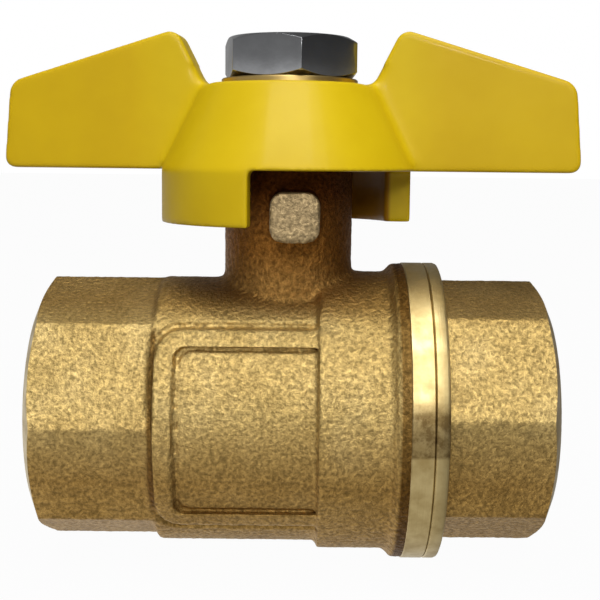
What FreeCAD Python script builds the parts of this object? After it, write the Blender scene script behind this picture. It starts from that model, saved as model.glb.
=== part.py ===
import FreeCAD, Part
import math
import os
import re
import Sketcher
from FreeCAD import Placement, Rotation, Vector

# A half-inch brass ball valve for gas: two-piece forged body, floating ball, butterfly handle.
# Everything is built about the ball's centre: X runs along the pipe, Z up the stem, -Y is the front.
# The finished pieces are then moved along X, so that the origin is the centre of the inlet's mouth.
SIZES = {
    # ball and seats
    "ball_r": 11.5,
    "port_r": 7.5,  # full-bore flow passage
    "ball_gap": 0.03,  # running gap of the ball and of the stem's rings
    "cavity_gap": 0.3,
    "seat_lip": 2.18,  # seat behind the edge of the ball's port
    "seat_thick": 4.4,
    "seat_step": 0.9,
    "slot_width": 3.6,
    "slot_web": 0.7,
    # pipe threads, G 1/2
    "pipe_major_r": 10.4775,
    "pipe_thread_depth": 1.1615,
    "pipe_pitch": 1.814,
    "pipe_turns": 5,
    "tap_run_out": 1.814,  # plain hole left below the last full thread
    "pipe_wall": 2.0225,  # from the thread's root to the octagon's flats
    "mouth_step": 0.12,
    "mouth_depth": 0.45,
    "throat_length": 1.4,  # cone from the thread down to the port
    "inlet_neck": 1.476,
    "outlet_neck": 2.726,
    "end_face": 0.4,  # flat left round each mouth
    "end_chamfer": 1.15,
    # forged body
    "belly_wall": 1.8,
    "belly_end": 2.1,
    "edge": 0.6,
    "pad_rise": 0.38,  # bead frame round the front and back panels
    "pad_inset": 0.6,
    "pad_half": 9.6,
    "bead": 1.75,
    "bead_top": 1.45,
    "barrel_start": 3.1,
    "barrel_wall": 1.74,
    "band_wall": 1.69,
    "band_width": 3.2,
    "band_rise": 0.8,
    # joint between the body and its end cap
    "nose_step": 1.1,
    "joint_step": 0.25,
    "joint_depth": 0.55,
    "joint_pitch": 1.0,
    "joint_turns": 4,
    "joint_relief": 1.15,
    "flange_width": 1.4,
    "seal_step": 1.0,
    "seal_width": 1.3,
    "seal_thick": 1.1,
    "thread_gap": 0.05,
    "close_gap": 0.05,  # between pieces that are clamped together
    # stem
    "stem_r": 4.0,
    "stem_gap": 0.05,
    "flange_step": 1.2,
    "flange_lift": 0.4,  # above the ball
    "flange_thick": 0.8,
    "washer_thick": 0.7,
    "lift_gap": 0.08,
    "tang_gap": 0.1,
    "tang_length": 6.0,
    "groove_depth": 1.1,
    "groove_width": 1.3,
    "lower_groove": 8.4,  # below the top of the neck
    "upper_groove": 4.6,
    "flat_depth": 1.2,
    "nut_pitch": 1.25,
    "nut_turns": 3,
    "nut_thread_depth": 0.6,
    # neck and stops
    "neck_wall": 1.22,
    "neck_length": 11.4,  # above the belly
    "lug_offset": 0.7,
    "lug_width": 4.6,
    "lug_inset": 1.5,  # inside the handle's outer radius
    "lug_height": 4.7,
    "lug_drop": 1.4,  # below the handle's skirt
    # handle
    "hub_r": 13.0,
    "hub_top_r": 8.85,
    "hub_height": 8.5,
    "hub_drop": 0.3,  # below the top of the neck
    "seat_height": 1.3,  # stem shoulder above the neck
    "wall": 2.6,
    "plate": 3.5,
    "boss_wall": 2.2,
    "skirt_depth": 5.3,
    "open_stop": 2.6,  # skirt end that meets the lug when the valve is open
    "closed_stop": 3.45,  # skirt end that meets it when the valve is closed
    "wing_thick": 4.2,
    "wing_reach": 29.2,
    "tip_lean": 0.75,
    "tip_rise": 0.2,  # of the tip above the hub's top
    "peak_out": 2.45,
    "peak_rise": 5.5,
    "foot_in": 0.65,
    # nut and washer
    "plate_washer": 0.6,
    "plate_washer_rim": 2.9,
    "nut_flats": 12.4,
    "nut_height": 4.1,
    "nut_crown": 0.55,
    "nut_crown_in": 0.15,
    "stem_below_nut": 0.5,
}
# Sizes that follow from the ones above, so that whatever fits together moves together.
FOLLOWING = {
    "cavity_r": "ball_r + cavity_gap",
    "seat_r": "ball_r - seat_step",
    "seat_back": "sqrt(ball_r ^ 2 - port_r ^ 2) + seat_lip",
    "seat_front": "seat_back - seat_thick",
    "slot_floor": "port_r + slot_web",
    "pipe_minor_r": "pipe_major_r - pipe_thread_depth",
    "pipe_depth": "mouth_depth + pipe_pitch * pipe_turns + tap_run_out",
    "corner_r": "(pipe_major_r + pipe_wall) / cos(22.5)",
    "mouth_r": "pipe_major_r + mouth_step",
    "end_face_r": "mouth_r + end_face",
    "inlet_reach": "seat_back + inlet_neck + throat_length + pipe_depth",
    "outlet_reach": "seat_back + outlet_neck + throat_length + pipe_depth",
    "belly_r": "cavity_r + belly_wall",
    "belly_start": "seat_back + belly_end",
    "pad_r": "belly_r + pad_rise",
    "pad_start": "belly_start - pad_inset",
    "joint_minor_r": "cavity_r + joint_step",
    "joint_major_r": "joint_minor_r + joint_depth",
    "joint_start": "seat_front + nose_step",
    "joint_x": "joint_start + joint_turns * joint_pitch + joint_relief + seal_thick + close_gap",
    "barrel_r": "joint_major_r + barrel_wall",
    "seal_r": "joint_major_r + seal_step",
    "collar_r": "seal_r - seal_width",
    "band_r": "seal_r + band_wall",
    "band_start": "joint_x - band_width",
    "flange_r": "stem_r + flange_step",
    "flange_base": "ball_r + flange_lift",
    "washer_base": "flange_base + flange_thick",
    "washer_top": "washer_base + washer_thick",
    "groove_r": "stem_r - groove_depth",
    "flats_width": "2 * (stem_r - flat_depth)",
    "neck_r": "flange_r + lift_gap + neck_wall",
    "neck_top": "belly_r + neck_length",
    "hub_base": "neck_top - hub_drop",
    "hub_top": "hub_base + hub_height",
    "skirt_base": "hub_base - skirt_depth",
    "flats_base": "neck_top + seat_height",
    "lug_base": "skirt_base - lug_drop",
    "lug_reach": "hub_r - lug_inset",
    "nut_base": "hub_top + plate_washer",
    "nut_top": "nut_base + nut_height",
    "nut_corner_r": "nut_flats / 2 / cos(30)",
    "thread_end_r": "stem_r - nut_thread_depth",
    "stem_top": "nut_top - stem_below_nut",
}
INLET_TWIST = -2.0  # degrees about the pipe
OUTLET_TWIST = -7.0
REST_TURN = -5.0  # the handle stands a little short of fully open
NUT_TURN = -20.5
# where a thread's V-ring starts, reaches its root, leaves it and ends, in pitches
RING_START, RING_ROOT, RING_ROOT_END, RING_END = 0.12, 0.42, 0.6, 0.9
RING_FLANK = 0.3  # one flank of a ring, in pitches
BEFORE_START = 0.1  # a male ring's root ends this far before the ring's pitch begins
STEM_ROOT = 0.5
RUN_OUT = 1.0  # how far a cutting shape runs past a face

doc = FreeCAD.newDocument("GasValve")
along_pipe = Rotation(Vector(0, 1, 0), 90)


def make_sheet():
    sheet = doc.addObject("Spreadsheet::Sheet", "Sizes")
    for row, (name, size) in enumerate(SIZES.items(), start=1):
        sheet.set(f"A{row}", name)
        sheet.set(f"B{row}", str(size))
        sheet.setAlias(f"B{row}", name)
    doc.recompute()


def spell_out(found):
    word = found.group(0)
    return f"({formula(FOLLOWING[word])})" if word in FOLLOWING else f"Sizes.{word}"


def formula(text):
    """An expression in which each plain word is a size on the sheet or one that follows from them."""
    return re.sub(r"[a-z][a-z_]*(?![a-z_(])", spell_out, str(text))


def bind(item, **formulas):
    for name, text in formulas.items():
        item.setExpression(name.replace("__", "."), formula(text))
    return item


def origin_plane(body, role):
    return next(f for f in body.Origin.OriginFeatures if f.Role == role)


def draw(body, name, corners, plane="XZ_Plane"):
    """A closed outline through the corners, each held at its two distances from the origin."""
    sketch = body.newObject("Sketcher::SketchObject", name)
    sketch.AttachmentSupport = [(origin_plane(body, plane), "")]
    sketch.MapMode = "FlatFace"
    count = len(corners)
    ring = [Vector(10 * math.cos(2 * math.pi * k / count), 10 * math.sin(2 * math.pi * k / count), 0)
            for k in range(count)]
    for k in range(count):
        sketch.addGeometry(Part.LineSegment(ring[k], ring[(k + 1) % count]))
    for k in range(count):
        sketch.addConstraint(Sketcher.Constraint("Coincident", k, 2, (k + 1) % count, 1))
    for k, (across, up) in enumerate(corners):
        for kind, text, axis in (("DistanceX", across, -2), ("DistanceY", up, -1)):
            if text == "0":
                sketch.addConstraint(Sketcher.Constraint("PointOnObject", k, 1, axis))
                continue
            start = ring[k].x if kind == "DistanceX" else ring[k].y
            number = sketch.addConstraint(Sketcher.Constraint(kind, -1, 1, k, 1, start))
            sketch.setExpression(f"Constraints[{number}]", formula(text))
    doc.recompute()
    return sketch


def revolve(body, sketch, axis, kind="Revolution"):
    feature = body.newObject(f"PartDesign::{kind}", sketch.Name + kind)
    feature.Profile = sketch
    feature.ReferenceAxis = (sketch, [axis])
    feature.Angle = 360
    sketch.Visibility = False
    body.Tip = feature
    doc.recompute()
    return feature


def turned(name, corners, axis="H_Axis"):
    """A solid of revolution: about the pipe with H_Axis, about the stem with V_Axis."""
    body = doc.addObject("PartDesign::Body", name)
    revolve(body, draw(body, name + "Profile", corners), axis)
    return body


def repeat_rings(body, name, corners, axis, length, count, kind):
    """One ring of thread, added or cut, and then repeated along the axis."""
    sketch = draw(body, name, corners)
    ring = revolve(body, sketch, axis, kind)
    pattern = body.newObject("PartDesign::LinearPattern", name + "Pattern")
    pattern.Originals = [ring]
    pattern.Direction = (sketch, [axis])
    bind(pattern, Length=length, Occurrences=count)
    body.Tip = pattern
    doc.recompute()


def cylinder(name, radius, height, base="0"):
    return bind(doc.addObject("Part::Cylinder", name), Radius=radius, Height=height,
                Placement__Base__z=base)


def block(name, length, width, height, x, y, z):
    return bind(doc.addObject("Part::Box", name), Length=length, Width=width, Height=height,
                Placement__Base__x=x, Placement__Base__y=y, Placement__Base__z=z)


def octagon(name, length, start, twist):
    """An octagonal bar along the pipe with a corner at the top, turned a little by its twist."""
    bar = doc.addObject("Part::Prism", name)
    bar.Polygon = 8
    bar.Placement = Placement(Vector(), Rotation(Vector(1, 0, 0), twist) * along_pipe)
    return bind(bar, Circumradius="corner_r", Height=length,
                Placement__Base__x=start)


def join(name, *shapes):
    fuse = doc.addObject("Part::MultiFuse", name)
    fuse.Shapes = list(shapes)
    fuse.Refine = True
    return fuse


def cut(name, base, tool):
    result = doc.addObject("Part::Cut", name)
    result.Base = base
    result.Tool = tool
    result.Refine = True
    return result


def common(name, base, tool):
    result = doc.addObject("Part::Common", name)
    result.Base = base
    result.Tool = tool
    result.Refine = True
    return result


def place(piece, label, turn=0.0):
    """Name a finished piece, turn it about the stem and move it from the ball's centre to the frame."""
    piece.Label = label
    piece.Placement = Placement(Vector(), Rotation(Vector(0, 0, 1), turn))
    return bind(piece, Placement__Base__x="inlet_reach")


def thread_corners(start, inner, outer, pitch, side=1):
    """One V-ring: narrow at the outer radius, wide at the inner one."""
    foot, root, root_end, foot_end = (f"{start} + {side * share} * {pitch}" for share in
                                      (RING_START, RING_ROOT, RING_ROOT_END, RING_END))
    return [
        (foot, f"{inner} - edge"),
        (foot, inner),
        (root, outer),
        (root_end, outer),
        (foot_end, inner),
        (foot_end, f"{inner} - edge"),
    ]


def outer_ends(name, reach, side):
    """The turned envelope that chamfers an octagon's outer end."""
    return turned(name, [
        (f"{side} * {reach}", "0"),
        (f"{side} * {reach}", "end_face_r"),
        (f"{side} * ({reach} - end_chamfer)", "corner_r"),
        (f"{side} * ({reach} - end_chamfer)", "band_r"),
        ("0", "band_r"),
        ("0", "0"),
    ])


def pipe_bore(reach, side, inside):
    """Corners of a port, from outside its mouth to the thread's throat, then on through inside."""
    return [
        (f"{side} * ({reach} + {RUN_OUT})", "0"),
        (f"{side} * ({reach} + {RUN_OUT})", "mouth_r"),
        (f"{side} * ({reach} - mouth_depth)", "mouth_r"),
        (f"{side} * ({reach} - mouth_depth)", "pipe_minor_r"),
        (f"{side} * ({reach} - pipe_depth)", "pipe_minor_r"),
        (f"{side} * ({reach} - pipe_depth - throat_length)", "port_r"),
    ] + inside


def pipe_thread(body, name, reach, side):
    start = f"{side} * ({reach} - pipe_depth + tap_run_out)"
    step = "pipe_pitch * (pipe_turns - 1)"
    repeat_rings(body, name, thread_corners(start, "pipe_minor_r", "pipe_major_r", "pipe_pitch", side),
                 "H_Axis", step, "pipe_turns", "Revolution")
    if side < 0:
        body.Tip.Reversed = True


def make_body_outside():
    skin = turned("BodySkin", [
        ("-belly_start", "0"),
        ("-belly_start", "belly_r - edge"),
        ("edge - belly_start", "belly_r"),
        ("barrel_start", "belly_r"),
        ("barrel_start", "barrel_r"),
        ("band_start - band_rise", "barrel_r"),
        ("band_start", "band_r"),
        ("joint_x", "band_r"),
        ("joint_x", "0"),
    ])
    bar = octagon("InletBar", "inlet_reach - belly_start + edge", "-inlet_reach", INLET_TWIST)
    spanner_end = common("InletOctagon", bar, outer_ends("InletEnvelope", "inlet_reach", -1))
    return join("BodyOutside", skin, spanner_end, make_pads(), make_neck())


def make_pads():
    """A raised bead frame round a sunk panel, on the front and on the back of the belly."""
    ring = cylinder("PadRing", "pad_r", "pad_start + barrel_start")
    ring.Placement.Rotation = along_pipe
    bind(ring, Placement__Base__x="-pad_start", Placement__Base__z="0")
    slab = block("PadSlab", "pad_start + barrel_start", "2 * pad_r", "2 * pad_half",
                 "-pad_start", "-pad_r", "-pad_half")
    window = block("PadWindow", "pad_start + barrel_start", "2 * pad_r", "2 * (pad_half - bead_top)",
                   "bead - pad_start", "-pad_r", "bead_top - pad_half")
    return cut("Pads", common("PadBlank", ring, slab), window)


def make_neck():
    """The stem's tower with the two stop lugs, one the half-turn copy of the other."""
    tower = cylinder("Tower", "neck_r", "neck_top")
    front = block("FrontLug", "lug_width", "lug_reach", "lug_height",
                  "lug_offset - lug_width / 2", "-lug_reach", "lug_base")
    back = block("BackLug", "lug_width", "lug_reach", "lug_height",
                 "lug_width / 2 - lug_offset", "lug_reach", "lug_base")
    back.Placement.Rotation = Rotation(Vector(0, 0, 1), 180)
    return join("Neck", tower, front, back)


def make_valve_body():
    hollow = turned("BodyHollow", pipe_bore("inlet_reach", -1, [
        ("-seat_back", "port_r"),
        ("-seat_back", "seat_r + close_gap"),
        ("-seat_front", "seat_r + close_gap"),
        ("-seat_front", "ball_r + cavity_gap"),
        ("joint_start - close_gap", "ball_r + cavity_gap"),
        ("joint_start - close_gap", "joint_minor_r + thread_gap"),
        ("joint_x - seal_thick - 2 * close_gap", "joint_minor_r + thread_gap"),
        ("joint_x - seal_thick - 2 * close_gap", "seal_r"),
        (f"joint_x + {RUN_OUT}", "seal_r"),
        (f"joint_x + {RUN_OUT}", "0"),
    ]))
    pipe_thread(hollow, "InletThread", "inlet_reach", -1)
    repeat_rings(hollow, "BodyJointThread",
                 thread_corners("joint_start", "joint_minor_r + thread_gap",
                                "joint_major_r + thread_gap", "joint_pitch"),
                 "H_Axis", "joint_pitch * (joint_turns - 1)", "joint_turns", "Revolution")
    stem_way = turned("StemWay", [
        ("0", "0"),
        ("flange_r + lift_gap", "0"),
        ("flange_r + lift_gap", "washer_top + lift_gap"),
        ("stem_r + stem_gap", "washer_top + lift_gap"),
        ("stem_r + stem_gap", f"neck_top + {RUN_OUT}"),
        ("0", f"neck_top + {RUN_OUT}"),
    ], "V_Axis")
    return place(cut("ValveBody", make_body_outside(), join("BodyCore", hollow, stem_way)), "valve_body")


def make_end_cap():
    outside = turned("CapSkin", [
        ("joint_start", "0"),
        ("joint_start", "joint_major_r"),
        ("joint_start + joint_turns * joint_pitch", "joint_major_r"),
        ("joint_start + joint_turns * joint_pitch", "joint_minor_r"),
        ("joint_x - seal_thick - close_gap", "joint_minor_r"),
        ("joint_x - seal_thick - close_gap", "collar_r"),
        ("joint_x + close_gap", "collar_r"),
        ("joint_x + close_gap", "band_r"),
        ("joint_x + flange_width", "band_r"),
        ("joint_x + flange_width", "0"),
    ])
    repeat_rings(outside, "CapJointThread", [
        (f"joint_start - {BEFORE_START + RING_FLANK} * joint_pitch", "joint_major_r + edge"),
        (f"joint_start - {BEFORE_START + RING_FLANK} * joint_pitch", "joint_major_r"),
        (f"joint_start - {BEFORE_START} * joint_pitch", "joint_minor_r"),
        (f"joint_start + {RING_START} * joint_pitch", "joint_minor_r"),
        (f"joint_start + {RING_ROOT} * joint_pitch", "joint_major_r"),
        (f"joint_start + {RING_ROOT} * joint_pitch", "joint_major_r + edge"),
    ], "H_Axis", "joint_pitch * joint_turns", "joint_turns + 1", "Groove")
    bar = octagon("OutletBar", "outlet_reach - joint_x - close_gap", "joint_x + close_gap", OUTLET_TWIST)
    spanner_end = common("OutletOctagon", bar, outer_ends("OutletEnvelope", "outlet_reach", 1))
    hollow = turned("CapHollow", pipe_bore("outlet_reach", 1, [
        ("seat_back", "port_r"),
        ("seat_back", "seat_r + close_gap"),
        (f"joint_start - {RUN_OUT}", "seat_r + close_gap"),
        (f"joint_start - {RUN_OUT}", "0"),
    ]))
    pipe_thread(hollow, "OutletThread", "outlet_reach", 1)
    return place(cut("EndCap", join("CapOutside", outside, spanner_end), hollow), "end_cap")


def make_seat(name, label, side):
    ring = turned(name + "Ring", [
        (f"{side} * (seat_back - close_gap)", "port_r + close_gap"),
        (f"{side} * (seat_back - close_gap)", "seat_r"),
        (f"{side} * seat_front", "seat_r"),
        (f"{side} * seat_front", "port_r + close_gap"),
    ])
    cup = bind(doc.addObject("Part::Sphere", name + "Cup"), Radius="ball_r + ball_gap")
    return place(cut(name, ring, cup), label)


def make_joint_seal():
    return place(turned("JointSeal", [
        ("joint_x - seal_thick", "collar_r + close_gap"),
        ("joint_x - seal_thick", "seal_r - close_gap"),
        ("joint_x - close_gap", "seal_r - close_gap"),
        ("joint_x - close_gap", "collar_r + close_gap"),
    ]), "joint_seal")


def make_ball():
    """The floating ball: a port right through and a cross slot on top for the stem's tang."""
    sphere = bind(doc.addObject("Part::Sphere", "BallBlank"), Radius="ball_r")
    port = cylinder("BallPort", "port_r", "2 * ball_r")
    port.Placement.Rotation = along_pipe
    bind(port, Placement__Base__x="-ball_r", Placement__Base__z="0")
    slot = block("BallSlot", "slot_width", "2 * ball_r", "ball_r",
                 "-slot_width / 2", "-ball_r", "slot_floor")
    return place(cut("Ball", sphere, join("BallCuts", port, slot)), "ball", REST_TURN)


def make_stem():
    spindle = turned("Spindle", [
        ("0", "flange_base"),
        ("flange_r", "flange_base"),
        ("flange_r", "washer_base"),
        ("stem_r", "washer_base"),
    ] + groove_corners("neck_top - lower_groove") + groove_corners("neck_top - upper_groove") + [
        ("stem_r", "stem_top - nut_thread_depth"),
        ("thread_end_r", "stem_top"),
        ("0", "stem_top"),
    ], "V_Axis")
    repeat_rings(spindle, "StemThread", [
        ("stem_r + edge", f"nut_base + {RING_START} * nut_pitch"),
        ("stem_r", f"nut_base + {RING_START} * nut_pitch"),
        ("thread_end_r", f"nut_base + {STEM_ROOT} * nut_pitch"),
        ("thread_end_r", f"nut_base + {RING_ROOT_END} * nut_pitch"),
        ("stem_r", "nut_base + nut_pitch"),
        ("stem_r + edge", "nut_base + nut_pitch"),
    ], "V_Axis", "nut_pitch * (nut_turns - 1)", "nut_turns", "Groove")
    flat_length = f"stem_top - flats_base + {RUN_OUT}"
    front = block("FrontFlat", "2 * stem_r", "stem_r", flat_length,
                  "-stem_r", "-flats_width / 2 - stem_r", "flats_base")
    back = block("BackFlat", "2 * stem_r", "stem_r", flat_length,
                 "-stem_r", "flats_width / 2", "flats_base")
    shaft = cut("Shaft", spindle, join("StemFlats", front, back))
    tang = block("Tang", "slot_width - 2 * tang_gap", "tang_length", "flange_base - slot_floor",
                 "tang_gap - slot_width / 2", "-tang_length / 2", "slot_floor + 2 * tang_gap")
    return place(join("Stem", shaft, tang), "stem", REST_TURN)


def groove_corners(middle):
    return [
        ("stem_r", f"{middle} - groove_width / 2"),
        ("groove_r", f"{middle} - groove_width / 2"),
        ("groove_r", f"{middle} + groove_width / 2"),
        ("stem_r", f"{middle} + groove_width / 2"),
    ]


def make_stem_ring(name, label, middle):
    """An O-ring that fills its groove and runs in the neck's bore."""
    ring = doc.addObject("Part::Torus", name)
    section = "(stem_r + stem_gap - ball_gap - groove_r) / 2"
    place(ring, label)
    return bind(ring, Radius1=f"groove_r + {section}", Radius2=section, Placement__Base__z=middle)


def make_thrust_washer():
    return place(turned("ThrustWasher", [
        ("stem_r + stem_gap", "washer_base"),
        ("flange_r", "washer_base"),
        ("flange_r", "washer_top"),
        ("stem_r + stem_gap", "washer_top"),
    ], "V_Axis"), "thrust_washer")


def make_wing(name, side):
    body = doc.addObject("PartDesign::Body", name)
    sketch = draw(body, name + "Outline", [
        (f"{side} * hub_top_r / 2", "hub_base"),
        (f"{side} * wing_reach", "hub_base"),
        (f"{side} * (wing_reach - tip_lean)", "hub_top + tip_rise"),
        (f"{side} * (hub_top_r + peak_out)", "hub_top + peak_rise"),
        (f"{side} * (hub_top_r - foot_in)", "hub_top - edge"),
        (f"{side} * hub_top_r / 2", "hub_top - edge"),
    ])
    pad = body.newObject("PartDesign::Pad", name + "Pad")
    pad.Profile = sketch
    pad.SideType = "Symmetric"
    bind(pad, Length="wing_thick")
    body.Tip = pad
    doc.recompute()
    return body


def make_handle():
    outside = turned("HandleSkin", [
        ("0", "skirt_base"),
        ("hub_r", "skirt_base"),
        ("hub_r", "hub_base"),
        ("hub_top_r", "hub_top"),
        ("0", "hub_top"),
    ], "V_Axis")
    blank = join("HandleBlank", outside, make_wing("RightWing", 1), make_wing("LeftWing", -1))
    hollow = turned("HandleHollow", [
        ("0", f"skirt_base - {RUN_OUT}"),
        ("hub_r - wall", f"skirt_base - {RUN_OUT}"),
        ("hub_r - wall", "hub_base"),
        ("hub_top_r + (hub_r - hub_top_r) * plate / hub_height - wall", "hub_top - plate"),
        ("0", "hub_top - plate"),
    ], "V_Axis")
    depth = f"hub_base - skirt_base + {RUN_OUT}"
    beyond_open = f"hub_r + open_stop + {RUN_OUT}"
    beyond_closed = f"hub_r + closed_stop + {RUN_OUT}"
    right_gap = block("RightGap", beyond_open, beyond_closed, depth,
                      "-open_stop", f"-hub_r - {RUN_OUT}", f"skirt_base - {RUN_OUT}")
    left_gap = block("LeftGap", beyond_open, beyond_closed, depth,
                     f"-hub_r - {RUN_OUT}", "-closed_stop", f"skirt_base - {RUN_OUT}")
    shell = cut("HandleShell", blank, join("HandleCuts", hollow, right_gap, left_gap))
    boss = cylinder("HandleBoss", "stem_r + boss_wall", "hub_top - plate - flats_base - close_gap",
                    "flats_base + close_gap")
    round_hole = cylinder("RoundHole", "stem_r + close_gap", f"hub_top - flats_base + {RUN_OUT}",
                          "flats_base")
    flat_hole = block("FlatHole", "4 * stem_r", "flats_width + 2 * close_gap",
                      f"hub_top - flats_base + {RUN_OUT}", "-2 * stem_r",
                      "-flats_width / 2 - close_gap", "flats_base")
    stem_hole = common("StemHole", round_hole, flat_hole)
    return place(cut("Handle", join("HandleSolid", shell, boss), stem_hole), "handle", REST_TURN)


def make_handle_washer():
    return place(turned("HandleWasher", [
        ("stem_r + close_gap", "hub_top"),
        ("stem_r + plate_washer_rim", "hub_top"),
        ("stem_r + plate_washer_rim", "nut_base"),
        ("stem_r + close_gap", "nut_base"),
    ], "V_Axis"), "handle_washer")


def make_handle_nut():
    hexagon = doc.addObject("Part::Prism", "NutBar")
    hexagon.Polygon = 6
    bind(hexagon, Circumradius="nut_corner_r", Height="nut_height",
         Placement__Base__z="nut_base")
    crown = turned("NutCrown", [
        ("0", "nut_base"),
        ("nut_corner_r", "nut_base"),
        ("nut_corner_r", "nut_top - nut_crown"),
        ("nut_flats / 2 - nut_crown_in", "nut_top"),
        ("0", "nut_top"),
    ], "V_Axis")
    bore = turned("NutBore", [
        ("0", f"nut_base - {RUN_OUT}"),
        ("thread_end_r + thread_gap", f"nut_base - {RUN_OUT}"),
        ("thread_end_r + thread_gap", f"nut_top + {RUN_OUT}"),
        ("0", f"nut_top + {RUN_OUT}"),
    ], "V_Axis")
    repeat_rings(bore, "NutThread", [
        ("thread_end_r", f"nut_base - {1 - RING_ROOT_END} * nut_pitch - 2 * thread_gap"),
        ("stem_r + thread_gap", "nut_base - 2 * thread_gap"),
        ("stem_r + thread_gap", f"nut_base + {RING_START} * nut_pitch + thread_gap"),
        ("thread_end_r", f"nut_base + {STEM_ROOT} * nut_pitch + thread_gap"),
    ], "V_Axis", "nut_pitch * nut_turns", "nut_turns + 1", "Revolution")
    return place(cut("HandleNut", common("NutBlank", hexagon, crown), bore), "handle_nut", NUT_TURN)


def check_and_write(pieces):
    doc.recompute()
    for item in doc.Objects:
        if "Invalid" in item.State or "Error" in item.State:
            raise RuntimeError(f"{item.Label} did not build: {item.State}")
    os.makedirs("parts", exist_ok=True)
    for piece in pieces:
        shape = piece.Shape
        if shape.isNull() or not shape.isValid():
            raise RuntimeError(f"{piece.Label} has no valid shape")
        shape.exportStep(f"parts/{piece.Label}.step")
        box = shape.BoundBox
        print(f"{piece.Label:16s} {len(shape.Solids)} solid  {shape.Volume:9.2f} mm3  "
              f"{box.XLength:6.2f} x {box.YLength:6.2f} x {box.ZLength:6.2f} mm")


make_sheet()
check_and_write([
    make_valve_body(),
    make_end_cap(),
    make_seat("InletSeat", "inlet_seat", -1),
    make_seat("OutletSeat", "outlet_seat", 1),
    make_joint_seal(),
    make_ball(),
    make_stem(),
    make_stem_ring("LowerRing", "lower_stem_ring", "neck_top - lower_groove"),
    make_stem_ring("UpperRing", "upper_stem_ring", "neck_top - upper_groove"),
    make_thrust_washer(),
    make_handle(),
    make_handle_washer(),
    make_handle_nut(),
])
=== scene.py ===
import math

import bpy
from mathutils import Matrix, Vector


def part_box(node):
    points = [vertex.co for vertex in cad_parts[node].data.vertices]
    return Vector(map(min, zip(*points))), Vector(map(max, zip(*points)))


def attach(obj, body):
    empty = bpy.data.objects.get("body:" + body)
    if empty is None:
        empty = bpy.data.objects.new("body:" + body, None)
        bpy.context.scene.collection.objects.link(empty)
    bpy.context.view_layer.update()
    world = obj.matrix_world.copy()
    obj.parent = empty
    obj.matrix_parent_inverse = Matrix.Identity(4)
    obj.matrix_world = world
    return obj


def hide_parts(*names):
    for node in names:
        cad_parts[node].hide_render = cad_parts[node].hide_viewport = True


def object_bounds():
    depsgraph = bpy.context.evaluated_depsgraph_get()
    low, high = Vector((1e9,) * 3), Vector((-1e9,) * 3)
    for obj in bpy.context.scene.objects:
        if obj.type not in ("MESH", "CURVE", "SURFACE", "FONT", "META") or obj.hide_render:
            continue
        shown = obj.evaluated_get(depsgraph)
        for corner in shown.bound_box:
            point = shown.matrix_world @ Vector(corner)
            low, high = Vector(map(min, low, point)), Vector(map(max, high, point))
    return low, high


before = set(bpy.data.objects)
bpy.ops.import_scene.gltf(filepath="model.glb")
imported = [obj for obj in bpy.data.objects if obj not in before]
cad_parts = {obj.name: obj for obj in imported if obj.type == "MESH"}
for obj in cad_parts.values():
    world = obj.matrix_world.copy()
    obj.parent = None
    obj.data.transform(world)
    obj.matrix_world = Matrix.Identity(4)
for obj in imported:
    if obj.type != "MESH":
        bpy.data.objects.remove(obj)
cadLow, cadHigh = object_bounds()

ballLow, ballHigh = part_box("ball")
bodyLow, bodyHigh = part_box("valve_body")
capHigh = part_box("end_cap")[1]
nutLow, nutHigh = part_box("handle_nut")
washerLow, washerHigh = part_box("handle_washer")
centre = Vector(((ballLow.x + ballHigh.x) / 2, 0, 0))  # the ball's centre, on the pipe's axis
axisFoot = Vector()  # foot of the stem's axis, for pieces made at the origin and moved later
bandRadius = min(bodyHigh.y, -bodyLow.z)
neckTop = bodyHigh.z
jointPlane = bodyHigh.x - centre.x
inletFace = bodyLow.x - centre.x
outletFace = capHigh.x - centre.x
mm = 0.001
sliver = 0.01 * mm  # the width of a step that stands for a sharp corner
wide = 40 * mm  # beyond the whole fitting


def deselect():
    if bpy.context.object and bpy.context.object.mode != "OBJECT":
        bpy.ops.object.mode_set(mode="OBJECT")
    bpy.ops.object.select_all(action="DESELECT")


def activate(piece):
    deselect()
    piece.select_set(True)
    bpy.context.view_layer.objects.active = piece


# names the newest object and puts its place into its mesh
def named(name):
    piece = bpy.context.object
    piece.name = piece.data.name = name
    bpy.ops.object.transform_apply(location=True, rotation=True, scale=True)
    return piece


def faceOut(piece):
    activate(piece)
    bpy.ops.object.mode_set(mode="EDIT")
    bpy.ops.mesh.select_all(action="SELECT")
    bpy.ops.mesh.normals_make_consistent(inside=False)
    bpy.ops.object.mode_set(mode="OBJECT")
    return piece


# a lathe-turned solid from (distance, radius) pairs along the pipe or up the stem
def turned(name, profile, along="X", foot=centre, sides=96):
    deselect()
    step = Vector((1, 0, 0)) if along == "X" else Vector((0, 0, 1))
    turn = (0, math.pi / 2, 0) if along == "X" else (0, 0, 0)
    (start, radius), rest = profile[0], profile[1:]
    bpy.ops.mesh.primitive_circle_add(vertices=sides, radius=radius, fill_type="NGON",
                                      location=foot + step * start, rotation=turn)
    piece = named(name)
    bpy.ops.object.mode_set(mode="EDIT")
    bpy.ops.mesh.select_all(action="SELECT")
    for reach, girth in rest:
        bpy.ops.mesh.extrude_region_move(TRANSFORM_OT_translate={"value": step * (reach - start)})
        grow = girth / radius
        scale = (1, grow, grow) if along == "X" else (grow, grow, 1)
        bpy.ops.transform.resize(value=scale, center_override=foot + step * reach)
        start, radius = reach, girth
    bpy.ops.object.mode_set(mode="OBJECT")
    return faceOut(piece)


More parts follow.
